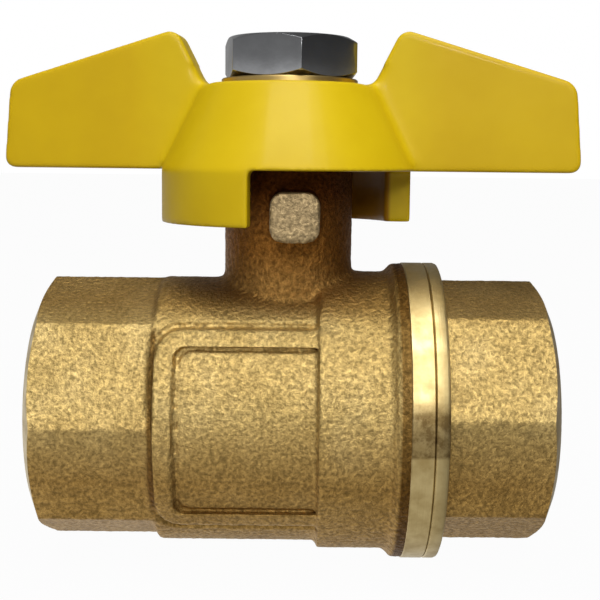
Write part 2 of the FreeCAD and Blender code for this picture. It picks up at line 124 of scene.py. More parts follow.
# a straight bar of so many sides, with a corner at the top, or towards +X when it stands
def bar(name, sides, radius, start, end, twist=0.0, along="X", foot=centre):
    deselect()
    step = Vector((1, 0, 0)) if along == "X" else Vector((0, 0, 1))
    bpy.ops.mesh.primitive_cylinder_add(vertices=sides, radius=radius, depth=end - start,
                                        location=(0, 0, 0))
    piece = bpy.context.object
    piece.name = name
    quarter = math.pi / 2  # a cylinder's first corner is on +Y
    if along == "X":
        spin = (Matrix.Rotation(twist, 4, "X") @ Matrix.Rotation(quarter, 4, "Y")
                @ Matrix.Rotation(quarter, 4, "Z"))
    else:
        spin = Matrix.Rotation(twist - quarter, 4, "Z")
    piece.data.transform(Matrix.Translation(foot + step * (start + end) / 2) @ spin)
    return faceOut(piece)


def block(name, low, high):
    deselect()
    bpy.ops.mesh.primitive_cube_add(size=1, location=(Vector(low) + Vector(high)) / 2,
                                    scale=Vector(high) - Vector(low))
    return named(name)


# a plate standing in the XZ plane, its corners rounded, thickened from low to high
def plate(name, outline, low, high, rounding, steps=6):
    deselect()
    bpy.ops.mesh.primitive_circle_add(vertices=len(outline), radius=1, fill_type="NGON")
    piece = named(name)
    for vertex, (across, up) in zip(piece.data.vertices, outline):
        vertex.co = (across, low, up)
    bpy.ops.object.mode_set(mode="EDIT")
    bpy.ops.mesh.select_all(action="SELECT")
    bpy.ops.mesh.bevel(offset=rounding, segments=steps, affect="VERTICES")
    bpy.ops.mesh.select_all(action="SELECT")
    bpy.ops.mesh.extrude_region_move(TRANSFORM_OT_translate={"value": (0, high - low, 0)})
    bpy.ops.object.mode_set(mode="OBJECT")
    return faceOut(piece)


def applied(piece, kind, **settings):
    activate(piece)
    modifier = piece.modifiers.new(kind.lower(), kind)
    for key, value in settings.items():
        setattr(modifier, key, value)
    bpy.ops.object.modifier_apply(modifier=modifier.name)
    return piece


# adds, cuts away or keeps what is shared with each tool, and throws the tool away
def combine(piece, operation, *tools):
    for tool in tools:
        applied(piece, "BOOLEAN", operation=operation, solver="MANIFOLD", material_mode="INDEX",
                object=tool)
        bpy.data.objects.remove(tool)
    return piece


# remeshes a blank finely and lets its corners flow, as a forging's or a casting's do
def castSkin(piece, grain, rounds):
    applied(piece, "REMESH", mode="VOXEL", voxel_size=grain, adaptivity=0.0)
    applied(piece, "SMOOTH", factor=0.5, iterations=rounds)
    return piece


# a vertex group whose weight comes from each vertex's place
def group(piece, name, weight):
    made = piece.vertex_groups.new(name=name)
    for vertex in piece.data.vertices:
        value = weight(vertex.co)
        if value > 0.01:
            made.add([vertex.index], min(value, 1.0), "REPLACE")


def smooth(piece, angle):
    activate(piece)
    bpy.ops.object.shade_smooth_by_angle(angle=math.radians(angle))


def finished(piece, body, slot, *nodes):
    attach(piece, body)
    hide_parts(*nodes)
    piece.data.calc_loop_triangles()
    print(f"  {piece.name}: {len(piece.data.loop_triangles)} triangles")


def newMaterial(name):
    material = bpy.data.materials.new(name)
    material.use_nodes = True
    tree = material.node_tree
    return material, tree, tree.nodes["Principled BSDF"]


def node(tree, kind, **settings):
    made = tree.nodes.new("ShaderNode" + kind)
    for key, value in settings.items():
        if key in made.inputs:
            made.inputs[key].default_value = value
        else:
            setattr(made, key, value)
    return made


# object coordinates, stretched and then shifted if asked
def place(tree, stretch=None, shift=(0, 0, 0)):
    spot = tree.nodes.get("place") or node(tree, "TexCoord")
    spot.name = "place"
    if not stretch:
        return spot.outputs["Object"]
    mapping = node(tree, "Mapping")
    mapping.inputs["Scale"].default_value = stretch
    mapping.inputs["Location"].default_value = shift
    tree.links.new(spot.outputs["Object"], mapping.inputs["Vector"])
    return mapping.outputs["Vector"]


def noise(tree, scale, detail=3.0, rough=0.55, stretch=None):
    made = node(tree, "TexNoise", Scale=scale, Detail=detail, Roughness=rough)
    tree.links.new(place(tree, stretch), made.inputs["Vector"])
    return made.outputs["Fac"]


def ramp(tree, source, stops):
    made = node(tree, "ValToRGB")
    bands = made.color_ramp.elements
    while len(bands) < len(stops):
        bands.new(0.5)
    for band, (where, colour) in zip(bands, stops):
        band.position = where
        band.color = (*colour, 1) if isinstance(colour, tuple) else (colour, colour, colour, 1)
    tree.links.new(source, made.inputs["Fac"])
    return made.outputs["Color"]


def mixColour(tree, share, first, second, blend="MIX"):
    made = node(tree, "Mix", data_type="RGBA", blend_type=blend)
    sockets = made.inputs["Factor"], made.inputs[6], made.inputs[7]
    for socket, value in zip(sockets, (share, first, second)):
        if isinstance(value, (int, float)):
            socket.default_value = value
        elif isinstance(value, tuple):
            socket.default_value = (*value, 1)
        else:
            tree.links.new(value, socket)
    return made.outputs[2]


def multiplied(tree, colour, tint):
    return mixColour(tree, 1.0, colour, tint, "MULTIPLY")


# the colour, turned towards its tinted self where share is 1
def tinted(tree, share, colour, tint):
    return mixColour(tree, share, colour, multiplied(tree, colour, tint))


def bump(tree, shader, height, distance, strength=1.0):
    made = node(tree, "Bump", Distance=distance, Strength=strength)
    tree.links.new(height, made.inputs["Height"])
    tree.links.new(made.outputs["Normal"], shader.inputs["Normal"])


# how deep in a crease the surface lies, kept with the mesh: 0 in the crease, 1 in the open; it drives the
# painted crease shade
def hollowness(tree):
    return node(tree, "Attribute", attribute_name="crease").outputs["Fac"]


# 0 at low and 1 at high
def between(tree, source, low, high):
    made = node(tree, "MapRange")
    made.inputs["From Min"].default_value = low
    made.inputs["From Max"].default_value = high
    tree.links.new(source, made.inputs["Value"])
    return made.outputs[0]


# 0 at low and 1 at high, in mm along one axis of the object
def along(tree, axis, low, high):
    split = tree.nodes.get("split")
    if not split:
        split = node(tree, "SeparateXYZ")
        split.name = "split"
        tree.links.new(place(tree), split.inputs[0])
    return between(tree, split.outputs[axis], low * mm, high * mm)


# distance from the stem's axis
def fromStem(tree):
    away = node(tree, "VectorMath", operation="LENGTH")
    tree.links.new(place(tree, (1, 1, 0), (-centre.x, 0, 0)), away.inputs[0])
    return away.outputs["Value"]


def product(tree, *shares):
    total = shares[0]
    for share in shares[1:]:
        made = node(tree, "Math", operation="MULTIPLY")
        tree.links.new(total, made.inputs[0])
        tree.links.new(share, made.inputs[1])
        total = made.outputs[0]
    return total


# where each tint of the forging fades in, in mm, and its colour
brassWear = {
    "base": [(0.3, (0.44, 0.305, 0.105)), (0.5, (0.50, 0.355, 0.13)), (0.7, (0.56, 0.41, 0.165))],
    "speck": [(0.36, 0.6), (0.52, 0.95), (0.66, 1.3)],
    # painted shade in the creases, and a lighter painted shade in the creases low down
    "crease": [(0.40, (0.15, 0.09, 0.05)), (0.51, (1, 1, 1))],
    "shallowCreaseShade": [(0.40, (0.5, 0.42, 0.34)), (0.51, (1, 1, 1))],
    # painted shade, darker towards the bottom
    "undersideShade": (2.0, -5.0, (0.71, 0.60, 0.46)),
    "crown": (9.9, 11.6, (0.74, 0.66, 0.55)),
    # painted shade round the neck's foot
    "neckFootShade": (10.5, 12.5, (0.84, 0.70, 0.60)),
    "neckLow": (13.5, 17.0, (0.84, 0.68, 0.50)),
    # painted shadow under the hub
    "neckHighShadow": (17.5, 22.5, (0.42, 0.30, 0.26)),
    # painted shade beside the turned band
    "shadeBesideBand": (0.36, 0.29, 0.21),
    "shadeBesideFrame": (0.42, 0.34, 0.25),
    "paleLugFace": (0.38, 0.28, 0.145),
    "lugFace": 9.8,
}


def forgedBrass():
    w = brassWear
    material, tree, shader = newMaterial("blasted brass")
    shader.inputs["Metallic"].default_value = 1.0
    fine = noise(tree, 2500, 4, 0.65)
    speck = ramp(tree, fine, w["speck"])
    colour = multiplied(tree, ramp(tree, noise(tree, 160, 4), w["base"]), speck)
    # painted shade: creases darkened by their depth, less so below Z -4.5 mm
    crease = mixColour(tree, along(tree, "Z", -4.5, -8.0), ramp(tree, hollowness(tree), w["crease"]),
                       ramp(tree, hollowness(tree), w["shallowCreaseShade"]))
    colour = multiplied(tree, colour, crease)
    # painted shade darkening the bottom below Z 2 mm; the crown tint makes the top above Z 9.9 mm darker
    for part in ("undersideShade", "crown"):
        start, end, tint = w[part]
        colour = tinted(tree, along(tree, "Z", start, end), colour, tint)
    # painted shade round the neck's foot, carried on up the neck
    start, end, tint = w["neckFootShade"]
    near = between(tree, fromStem(tree), 14 * mm, 7.5 * mm)
    colour = tinted(tree, product(tree, near, along(tree, "Z", start, end)), colour, tint)
    # the neck browner from Z 13.5 mm up, then darkened towards the hub: painted shadow under the hub
    for part in ("neckLow", "neckHighShadow"):
        start, end, tint = w[part]
        colour = tinted(tree, along(tree, "Z", start, end), colour, tint)
    # painted shade on the unmachined strip left beside the turned band, as far as the cap's own side; scale
    # holds the shaded colour
    scale = mixColour(tree, along(tree, "X", 38.0, 38.4), multiplied(tree, colour, w["shadeBesideBand"]), colour)
    colour = mixColour(tree, along(tree, "X", 35.7, 36.0), colour, scale)
    # and painted shade in the corner beside the panel's frame
    edge = product(tree, along(tree, "X", 12.0, 12.25), along(tree, "X", 12.8, 12.55),
                   along(tree, "Z", -9.4, -7.0), along(tree, "Z", 9.9, 9.0))
    colour = tinted(tree, edge, colour, w["shadeBesideFrame"])
    # the stop lugs' front faces made paler and greyer, with the grain kept
    high = along(tree, "Z", 16.9, 17.6)
    for reach in (-w["lugFace"], w["lugFace"]):
        paleFace = product(tree, along(tree, "Y", reach * 0.88, reach), high)
        colour = mixColour(tree, paleFace, colour, multiplied(tree, speck, w["paleLugFace"]))
    tree.links.new(colour, shader.inputs["Base Color"])
    tree.links.new(ramp(tree, fine, [(0.35, 0.62), (0.65, 0.42)]), shader.inputs["Roughness"])
    bump(tree, shader, fine, 0.0002)
    return material


bandLook = {
    "base": [(0.3, (0.38, 0.275, 0.11)), (0.62, (0.53, 0.41, 0.19))],
    "rough": [(0.35, 0.5), (0.6, 0.36)],
    "darkReflection": (0.36, 0.31, 0.26),
    "darkReflectionMottle": [(0.4, 0.45), (0.6, 1.0)],
    "lathe": (5200, 60, 60),
}


# machined faces: lathe lines round the pipe's axis, dull marks, and a mottled patch of painted dark reflection
# on the band's front
def turnedBrass():
    look = bandLook
    material, tree, shader = newMaterial("turned brass")
    shader.inputs["Metallic"].default_value = 1.0
    marks = noise(tree, 420, 4, 0.6)
    # painted dark reflection on the band's front
    darkReflectionPatch = product(tree, along(tree, "Z", 4.4, 2.4), along(tree, "Z", -1.6, -1.3),
                    along(tree, "Y", -14.2, -14.8), ramp(tree, noise(tree, 1100, 4, 0.7), look["darkReflectionMottle"]))
    colour = tinted(tree, darkReflectionPatch, ramp(tree, marks, look["base"]), look["darkReflection"])
    tree.links.new(colour, shader.inputs["Base Color"])
    tree.links.new(ramp(tree, marks, look["rough"]), shader.inputs["Roughness"])
    bump(tree, shader, noise(tree, 1.0, 3, 0.6, look["lathe"]), 0.00002, 0.6)
    return material


paintLook = {
    "base": [(0.3, (0.51, 0.35, 0.003)), (0.7, (0.56, 0.395, 0.005))],
    # painted shade in the paint's creases
    "crease": [(0.2, (0.45, 0.36, 0.3)), (0.5, (1, 1, 1))],
    "rough": [(0.3, 0.46), (0.7, 0.38)],
    "hollowShade": (0.55, 0.36, 0.5),  # painted shade, darker and browner, inside the skirt and the hub
    "hollowShadeInside": ((11.0, 25.4), (9.4, 30.2)),  # radius and top, in mm
    # painted shade on the wings
    "wingShade": (0.94, 0.88, 0.6),
    "wingShadeFrom": (12 * mm, 16 * mm),
}


def yellowPaint():
    look = paintLook
    material, tree, shader = newMaterial("yellow paint")
    broad = noise(tree, 120, 3)
    # painted shade: the paint darkened in its creases
    crease = ramp(tree, hollowness(tree), look["crease"])
    colour = multiplied(tree, ramp(tree, broad, look["base"]), crease)
    away = fromStem(tree)
    # painted shade inside the hollow of the skirt and the hub
    for radius, top in look["hollowShadeInside"]:
        inside = between(tree, away, radius * mm, (radius - 0.3) * mm)
        colour = tinted(tree, product(tree, inside, along(tree, "Z", top, top - 0.3)), colour, look["hollowShade"])
    # painted shade: the wings, away from the hub, darker and more orange than the hub
    colour = tinted(tree, between(tree, away, *look["wingShadeFrom"]), colour, look["wingShade"])
    tree.links.new(colour, shader.inputs["Base Color"])
    tree.links.new(ramp(tree, broad, look["rough"]), shader.inputs["Roughness"])
    shader.inputs["Specular IOR Level"].default_value = 0.14
    shader.inputs["Coat Weight"].default_value = 0.08
    shader.inputs["Coat Roughness"].default_value = 0.1
    bump(tree, shader, noise(tree, 380, 2), 0.00008, 0.4)
    return material


# a finish in patches: metal plating, or a soft plastic
def patchy(name, tint, rough, dark, metal, scale, dull, grain, depth):
    material, tree, shader = newMaterial(name)
    shader.inputs["Metallic"].default_value = metal
    patches = noise(tree, scale, 3)
    tree.links.new(ramp(tree, patches, [(0.3, tuple(c * dark for c in tint)), (0.7, tint)]),
                   shader.inputs["Base Color"])
    tree.links.new(ramp(tree, patches, [(0.3, rough * dull), (0.7, rough)]), shader.inputs["Roughness"])
    bump(tree, shader, noise(tree, grain, 2), depth, 0.3)
    return material


def plated(name, tint, rough, dark=0.8):
    return patchy(name, tint, rough, dark, 1.0, 300, 1.4, 1500, 0.00002)


def softPlastic(name, tint, rough):
    return patchy(name, tint, rough, 0.9, 0.0, 400, 1.2, 2500, 0.00001)


print("materials")
brass = forgedBrass()
bandBrass = turnedBrass()
paint = yellowPaint()
zinc = plated("bright zinc", (0.37, 0.375, 0.385), 0.16, 0.7)
goldZinc = plated("yellow zinc", (0.62, 0.44, 0.16), 0.28)
chrome = plated("polished chrome", (0.78, 0.78, 0.8), 0.06, 0.95)
stemBrass = plated("plain brass", (0.62, 0.44, 0.19), 0.3)
ptfe = softPlastic("white ptfe", (0.82, 0.82, 0.79), 0.45)
rubber = softPlastic("black rubber", (0.02, 0.02, 0.02), 0.6)


# gives a piece or a cutting tool its materials, with every face on the one picked
def surfaced(piece, *materials, pick=0):
    piece.data.materials.clear()
    for material in materials:
        piece.data.materials.append(material)
    for face in piece.data.polygons:
        face.material_index = pick
    return piece


def machined(tool):
    return surfaced(tool, brass, bandBrass, pick=1)


# stores how deep in a crease each corner lies, for the painted crease shade
def creased(piece):
    activate(piece)
    layer = piece.data.color_attributes.new(name="crease", type="BYTE_COLOR", domain="CORNER")
    piece.data.color_attributes.active_color = layer
    bpy.ops.object.mode_set(mode="VERTEX_PAINT")
    bpy.ops.paint.vertex_color_dirt(blur_strength=1.0, blur_iterations=2, clean_angle=math.radians(100),
                                    dirt_angle=math.radians(60), normalize=False)
    bpy.ops.object.mode_set(mode="OBJECT")


# blasted grain, pushed into the surface itself
def roughen(piece, height, size=0.5 * mm):
    grain = bpy.data.textures.new(piece.name + "Grain", "CLOUDS")
    grain.noise_scale = size
    grain.noise_depth = 1
    applied(piece, "DISPLACE", texture=grain, strength=height * 2, mid_level=0.5, texture_coords="LOCAL")


pipeThread = {
    "minorRadius": 9.316 * mm,
    "majorRadius": 10.4775 * mm,
    "pitch": 1.814 * mm,
    "turns": 5,
    "ring": ((0.9, "minorRadius"), (0.6, "majorRadius"), (0.42, "majorRadius"), (0.12, "minorRadius")),
    "runOut": 1.814 * mm,
    "mouthRadius": 10.6 * mm,
    "mouthDepth": 0.45 * mm,
    "throat": 1.4 * mm,
    "port": 7.5 * mm,
    "overrun": 1.0 * mm,
}


# cuts a port's mouth, its thread's rings and the cone down to the bore; side is -1 at the inlet
def boreCutter(mouth, side):
    s = pipeThread
    inner = mouth - side * (s["mouthDepth"] + s["pitch"] * s["turns"])  # where the last full ring ends
    steps = [(mouth + side * s["overrun"], s["mouthRadius"]),
             (mouth - side * s["mouthDepth"], s["mouthRadius"]),
             (mouth - side * (s["mouthDepth"] + sliver), s["minorRadius"])]
    for ring in reversed(range(s["turns"])):
        steps += [(inner + side * (ring + share) * s["pitch"], s[radius]) for share, radius in s["ring"]]
    inner -= side * s["runOut"]
    steps += [(inner, s["minorRadius"]), (inner - side * s["throat"], s["port"]),
              (inner - side * (s["throat"] + 2 * s["overrun"]), s["port"])]
    return turned("bore", steps, sides=128)


forging = {
    "voxel": 0.24 * mm,
    "rounds": 3,
    "octagonCorner": 13.53 * mm,
    "inletTwist": math.radians(-2.0),
    "outletTwist": math.radians(-7.0),
    "endChamfer": 1.15 * mm,
    "endFace": 11.0 * mm,
    "belly": 13.6 * mm,
    "bellyStart": -13.0 * mm,
    "barrel": 14.34 * mm,
    "barrelStart": 3.1 * mm,
    "shoulderStart": 9.9 * mm,
    "shoulderEnd": 10.7 * mm,
    "padRadius": 13.98 * mm,
    "padStart": -12.4 * mm,
    "padHalf": 9.6 * mm,
    "padCorner": 2.4 * mm,
    "bead": 1.75 * mm,
    "windowHalf": 8.15 * mm,
    "windowCorner": 1.3 * mm,
    "grooveWidth": 0.6 * mm,
    "grooveRadius": 13.2 * mm,
    "neck": 6.5 * mm,
    "footRadius": 7.2 * mm,
    "footReach": 2.6 * mm,
    "footLow": 10.5 * mm,
    "footHigh": 17 * mm,
    "footRounds": 40,
    "stemHole": 4.05 * mm,
    "flangeHole": 5.28 * mm,
    "stemShoulder": 13.48 * mm,
    "cavity": 11.8 * mm,
    "seatPocket": 10.65 * mm,
    "seatBack": 10.9 * mm,
    "seatFront": 6.5 * mm,
    "lugOffset": 0.7 * mm,
    "lugHalf": 2.35 * mm,
    "lugReach": 11.5 * mm,
    "lugRoot": 4 * mm,
    "lugLow": 18.0 * mm,
    "lugHigh": 22.7 * mm,
    "lugCorner": 1.25 * mm,
    "bandStart": 11.7 * mm,
    "bandEdge": 0.1 * mm,
    "flangeWidth": 1.4 * mm,
    "flangeGap": 0.05 * mm,
    "flangeEdge": 0.35 * mm,
    "grain": 0.05 * mm,
}


# a plate with its left corners rounded, running on past the barrel's step
def framePlate(left, half, corner):
    f = forging
    right = centre.x + f["barrelStart"] + 4 * mm
    reach = 2 * f["padRadius"]
    outline = [(left, -half), (right, -half), (right, half), (left, half)]
    return plate("frame", outline, -reach, reach, corner)


# the raised frame round the sunk panel, front and back at once
def beadPads():
    f = forging
    ring = turned("pads", [(f["padStart"], f["padRadius"]), (f["barrelStart"] + 0.3 * mm, f["padRadius"])])
    start = centre.x + f["padStart"]
    combine(ring, "INTERSECT", framePlate(start, f["padHalf"], f["padCorner"]))
    return combine(ring, "DIFFERENCE", framePlate(start + f["bead"], f["windowHalf"], f["windowCorner"]))


# narrow grooves along the frame's outer and inner edges, cut to one depth and as far as the barrel
def beadGrooves():
    f = forging
    start, width = centre.x + f["padStart"], f["grooveWidth"]
    window = start + f["bead"]
    pairs = (((start - width, f["padHalf"] + width, f["padCorner"] + width),
              (start, f["padHalf"], f["padCorner"])),
             ((window, f["windowHalf"], f["windowCorner"]),
              (window + width, f["windowHalf"] - width, f["windowCorner"] - width / 2)))
    tools = []
    for outer, inner in pairs:
        groove = framePlate(*outer)
        inside = framePlate(*inner)
        core = turned("core", [(f["padStart"] - 3 * mm, f["grooveRadius"]),
                               (f["barrel"], f["grooveRadius"])])
        past = block("past", (centre.x + f["barrelStart"], -wide, -wide / 2),
                     (centre.x + wide / 2, wide, wide / 2))
        tools.append(combine(groove, "DIFFERENCE", inside, core, past))
    return tools


def stopLugs():
    f = forging
    lugs = []
    for side in (-1, 1):
        left = centre.x - side * f["lugOffset"] - f["lugHalf"]
        right = left + 2 * f["lugHalf"]
        near, far = sorted((side * f["lugReach"], side * f["lugRoot"]))
        outline = [(left, f["lugLow"]), (right, f["lugLow"]), (right, f["lugHigh"]), (left, f["lugHigh"])]
        lugs.append(plate("lug", outline, near, far, f["lugCorner"]))
    return lugs


def nearTower(co):
    f = forging
    off = abs(math.hypot(co.x - centre.x, co.y) - f["footRadius"])
    return max(0, 1 - off / f["footReach"]) * (f["footLow"] < co.z < f["footHigh"])


def makeBody():
    f = forging
    edge = f["bandEdge"]
    skin = turned("forged_body", [
        (f["bellyStart"], f["belly"] - 0.5 * mm),
        (f["bellyStart"] + 0.4 * mm, f["belly"]),
        (f["barrelStart"] - 0.1 * mm, f["belly"]),
        (f["barrelStart"] + 0.1 * mm, f["barrel"]),
        (f["shoulderStart"], f["barrel"]),
        (f["shoulderEnd"], bandRadius - edge),
        (f["bandStart"] + 0.5 * mm, bandRadius - edge),
    ])
    combine(skin, "UNION",
            bar("inletBar", 8, f["octagonCorner"], inletFace, f["bellyStart"] + mm, f["inletTwist"]),
            bar("tower", 64, f["neck"], 0, neckTop, along="Z"),
            beadPads(), *stopLugs())
    combine(skin, "DIFFERENCE", *beadGrooves())
    castSkin(skin, f["voxel"], f["rounds"])
    group(skin, "towerFoot", nearTower)
    applied(skin, "SMOOTH", factor=0.5, iterations=f["footRounds"], vertex_group="towerFoot")
    creased(skin)
    roughen(skin, f["grain"])
    surfaced(skin, brass, bandBrass)
    envelope = turned("envelope", [
        (inletFace, f["endFace"]),
        (inletFace + f["endChamfer"], f["octagonCorner"] + 0.1 * mm),
        (inletFace + f["endChamfer"] + 0.1 * mm, wide),
        (f["bandStart"], wide),
    ])
    combine(skin, "INTERSECT", machined(envelope))
    band = turned("band", [
        (f["bandStart"] - 0.02 * mm, bandRadius - 0.12 * mm),
        (f["bandStart"] + 0.08 * mm, bandRadius),
        (jointPlane - edge, bandRadius),
        (jointPlane, bandRadius - edge),
    ])
    combine(skin, "UNION", machined(band))
    cavity = turned("cavity", [
        (-f["seatBack"], f["seatPocket"]),
        (-f["seatFront"], f["seatPocket"]),
        (-f["seatFront"] + sliver, f["cavity"]),
        (wide / 2, f["cavity"]),
    ])
    bore = boreCutter(inletFace, -1)
    stemWay = turned("stemWay", [
        (5 * mm, f["flangeHole"]), (f["stemShoulder"], f["flangeHole"]),
        (f["stemShoulder"] + sliver, f["stemHole"]), (neckTop + mm, f["stemHole"])], along="Z", sides=64)
    link = turned("link", [(-f["seatBack"] - 3 * mm, pipeThread["port"]), (5 * mm, pipeThread["port"])])
    for tool in (cavity, bore, link, stemWay):
        combine(skin, "DIFFERENCE", machined(tool))
    smooth(skin, 35)
    finished(skin, "housing", "forged_brass", "valve_body")


def makeCap():
    f = forging
    edge = f["bandEdge"]
    flangeEnd = jointPlane + f["flangeWidth"]
    skin = bar("forged_cap", 8, f["octagonCorner"], flangeEnd - 0.8 * mm, outletFace, f["outletTwist"])
    castSkin(skin, f["voxel"], f["rounds"])
    creased(skin)
    roughen(skin, f["grain"])
    surfaced(skin, brass, bandBrass)
    envelope = turned("envelope", [
        (flangeEnd - 0.4 * mm, wide),
        (outletFace - f["endChamfer"] - 0.1 * mm, wide),
        (outletFace - f["endChamfer"], f["octagonCorner"] + 0.1 * mm),
        (outletFace, f["endFace"]),
    ])
    combine(skin, "INTERSECT", machined(envelope))
    start = jointPlane + f["flangeGap"]
    flange = turned("flange", [
        (7.6 * mm, 12.05 * mm),  # the threaded nose, inside the body
        (start - sliver, 12.3 * mm),
        (start, bandRadius - edge),
        (start + edge, bandRadius),
        (flangeEnd - f["flangeEdge"], bandRadius),
        (flangeEnd - edge, bandRadius - edge),
        (flangeEnd, bandRadius - f["flangeEdge"]),
    ])
    combine(skin, "UNION", machined(flange))
    pocket = turned("pocket", [(6 * mm, f["seatPocket"]), (f["seatBack"], f["seatPocket"])])
    port = pipeThread["port"]
    link = turned("link", [(f["seatBack"] - mm, port), (f["seatBack"] + 4 * mm, port)])
    for tool in (pocket, boreCutter(outletFace, 1), link):
        combine(skin, "DIFFERENCE", machined(tool))
    smooth(skin, 35)
    finished(skin, "housing", "forged_brass", "end_cap")


butterfly = {
    "voxel": 0.2 * mm,
    "rounds": 12,
    "rest": math.radians(-5.0),
    "hubRadius": 13.0 * mm,
    "hubTopRadius": 8.85 * mm,
    "hubTop": 33.2 * mm,
    "hubBase": 24.7 * mm,
    "skirtBase": 19.4 * mm,
    "wall": 2.6 * mm,
    "plate": 3.5 * mm,
    "innerTop": 7.96 * mm,
    "boss": 6.2 * mm,
    "bossBase": 26.35 * mm,
    "openStop": 2.6 * mm,
    "closedStop": 3.45 * mm,
    "wingHalf": 2.1 * mm,
    "wingReach": 29.2 * mm,
    "tipLean": 0.75 * mm,
    "tipTop": 33.4 * mm,
    "peakX": 11.3 * mm,
    "peakZ": 38.7 * mm,
    "foot": 8.2 * mm,
    "footDrop": 0.6 * mm,
    "cornerRound": 1.1 * mm,
    "rootReach": 2.6 * mm,
    "rootRounds": 70,
    "holeRadius": 4.05 * mm,
    "holeHalf": 2.85 * mm,
}


# where a wing flows into the hub's cone
def nearRoot(co):
    h = butterfly
    climb = min(max((co.z - h["hubBase"]) / (h["hubTop"] - h["hubBase"]), 0), 1)
    cone = h["hubRadius"] + climb * (h["hubTopRadius"] - h["hubRadius"])
    offCone = abs(math.hypot(co.x, co.y) - cone) / h["rootReach"]
    offWing = abs(abs(co.y) - h["wingHalf"]) / h["rootReach"]
    inReach = h["hubBase"] + 0.4 * mm < co.z < h["hubTop"] + 2 * mm and abs(co.x) > 6 * mm
    return (1.4 - offCone - offWing) * inReach


def makeHandle():
    h = butterfly
    skin = turned("butterfly_handle", [
        (h["skirtBase"], h["hubRadius"]), (h["hubBase"], h["hubRadius"]), (h["hubTop"], h["hubTopRadius"]),
    ], along="Z", foot=axisFoot)
    wingFoot = h["hubTop"] - h["footDrop"]
    for side in (-1, 1):
        outline = [(side * h["hubTopRadius"] / 2, h["hubBase"]),
                   (side * h["wingReach"], h["hubBase"]),
                   (side * (h["wingReach"] - h["tipLean"]), h["tipTop"]),
                   (side * h["peakX"], h["peakZ"]),
                   (side * h["foot"], wingFoot),
                   (side * h["hubTopRadius"] / 2, wingFoot)]
        combine(skin, "UNION", plate("wing", outline, -h["wingHalf"], h["wingHalf"], h["cornerRound"]))
    hollow = turned("hollow", [
        (h["skirtBase"] - mm, h["hubRadius"] - h["wall"]), (h["hubBase"], h["hubRadius"] - h["wall"]),
        (h["hubTop"] - h["plate"], h["innerTop"]),
    ], along="Z", foot=axisFoot)
    far = h["hubRadius"] + mm
    gaps = [block("gap", (-h["openStop"], -far, h["skirtBase"] - mm), (far, h["closedStop"], h["hubBase"])),
            block("gap", (-far, -h["closedStop"], h["skirtBase"] - mm), (h["openStop"], far, h["hubBase"]))]
    combine(skin, "DIFFERENCE", hollow, *gaps)
    bossTop = h["hubTop"] - h["plate"] + mm
    combine(skin, "UNION", bar("boss", 64, h["boss"], h["bossBase"], bossTop, along="Z", foot=axisFoot))
    castSkin(skin, h["voxel"], h["rounds"])
    group(skin, "wingRoot", nearRoot)
    applied(skin, "SMOOTH", factor=0.5, iterations=h["rootRounds"], vertex_group="wingRoot")
    creased(skin)
    hole = bar("hole", 64, h["holeRadius"], h["hubBase"], h["hubTop"] + mm, along="Z", foot=axisFoot)
    across = 2 * h["holeRadius"]
    flats = block("flats", (-across, -h["holeHalf"], h["hubBase"] - mm),
                  (across, h["holeHalf"], h["hubTop"] + 2 * mm))
    combine(hole, "INTERSECT", flats)
    combine(skin, "DIFFERENCE", hole)
    skin.data.transform(Matrix.Translation(centre) @ Matrix.Rotation(h["rest"], 4, "Z"))
    smooth(surfaced(skin, paint), 50)
    finished(skin, "handle_set", "handle_yellow", "handle")


lockNut = {
    "cornerRadius": 7.159 * mm,
    "twist": math.radians(-20.5),
    "crownRadius": 6.05 * mm,
    "crown": 0.65 * mm,
    "softEdge": 0.14 * mm,
    "hole": 3.45 * mm,
    "major": 4.05 * mm,
    "mouth": 0.5 * mm,
    "firstRing": 0.7 * mm,
    "pitch": 1.25 * mm,
    "rings": 2,
}


def makeNut():
    n = lockNut
    nut = bar("hex_nut", 6, n["cornerRadius"], nutLow.z, nutHigh.z, n["twist"], along="Z")
    crownWide = n["cornerRadius"] + 0.05 * mm
    crown = turned("crown", [
        (nutLow.z, n["crownRadius"]), (nutLow.z + n["crown"], crownWide),
        (nutHigh.z - n["crown"], crownWide), (nutHigh.z, n["crownRadius"]),
    ], along="Z", sides=128)
    combine(nut, "INTERSECT", crown)
    applied(nut, "BEVEL", width=n["softEdge"], segments=3, limit_method="ANGLE",
            angle_limit=math.radians(25))
    steps = [(nutLow.z - mm, n["major"]), (nutLow.z, n["major"]), (nutLow.z + n["mouth"], n["hole"])]
    for ring in range(n["rings"]):
        base = nutLow.z + n["firstRing"] + ring * n["pitch"]
        steps += [(base, n["hole"]), (base + 0.4 * mm, n["major"]), (base + 0.6 * mm, n["major"]),
                  (base + n["pitch"] - 0.1 * mm, n["hole"])]
    steps += [(nutHigh.z - 0.4 * mm, n["hole"]), (nutHigh.z, n["major"]), (nutHigh.z + mm, n["major"])]
    combine(nut, "DIFFERENCE", turned("nutBore", steps, along="Z", sides=64))
    smooth(surfaced(nut, zinc), 25)
    finished(nut, "handle_set", "nut_zinc", "handle_nut")


flatWasher = {
    "hole": 4.05 * mm,
    "softEdge": 0.1 * mm,
}


def makeWasher():
    w = flatWasher
    low, high, soft = washerLow.z, washerHigh.z, w["softEdge"]
    radius = washerHigh.x - centre.x
    washer = turned("flat_washer", [
        (low, radius - soft), (low + soft, radius), (high - soft, radius), (high, radius - soft),
    ], along="Z")
    combine(washer, "DIFFERENCE", bar("hole", 64, w["hole"], low - mm, high + mm, along="Z"))
    smooth(surfaced(washer, goldZinc), 25)
    finished(washer, "handle_set", "washer_zinc", "handle_washer")


floatingBall = {
    "radius": 11.5 * mm,
    "port": 7.5 * mm,
    "slotHalf": 1.8 * mm,
    "slotFloor": 8.2 * mm,
    "overrun": 14 * mm,
}


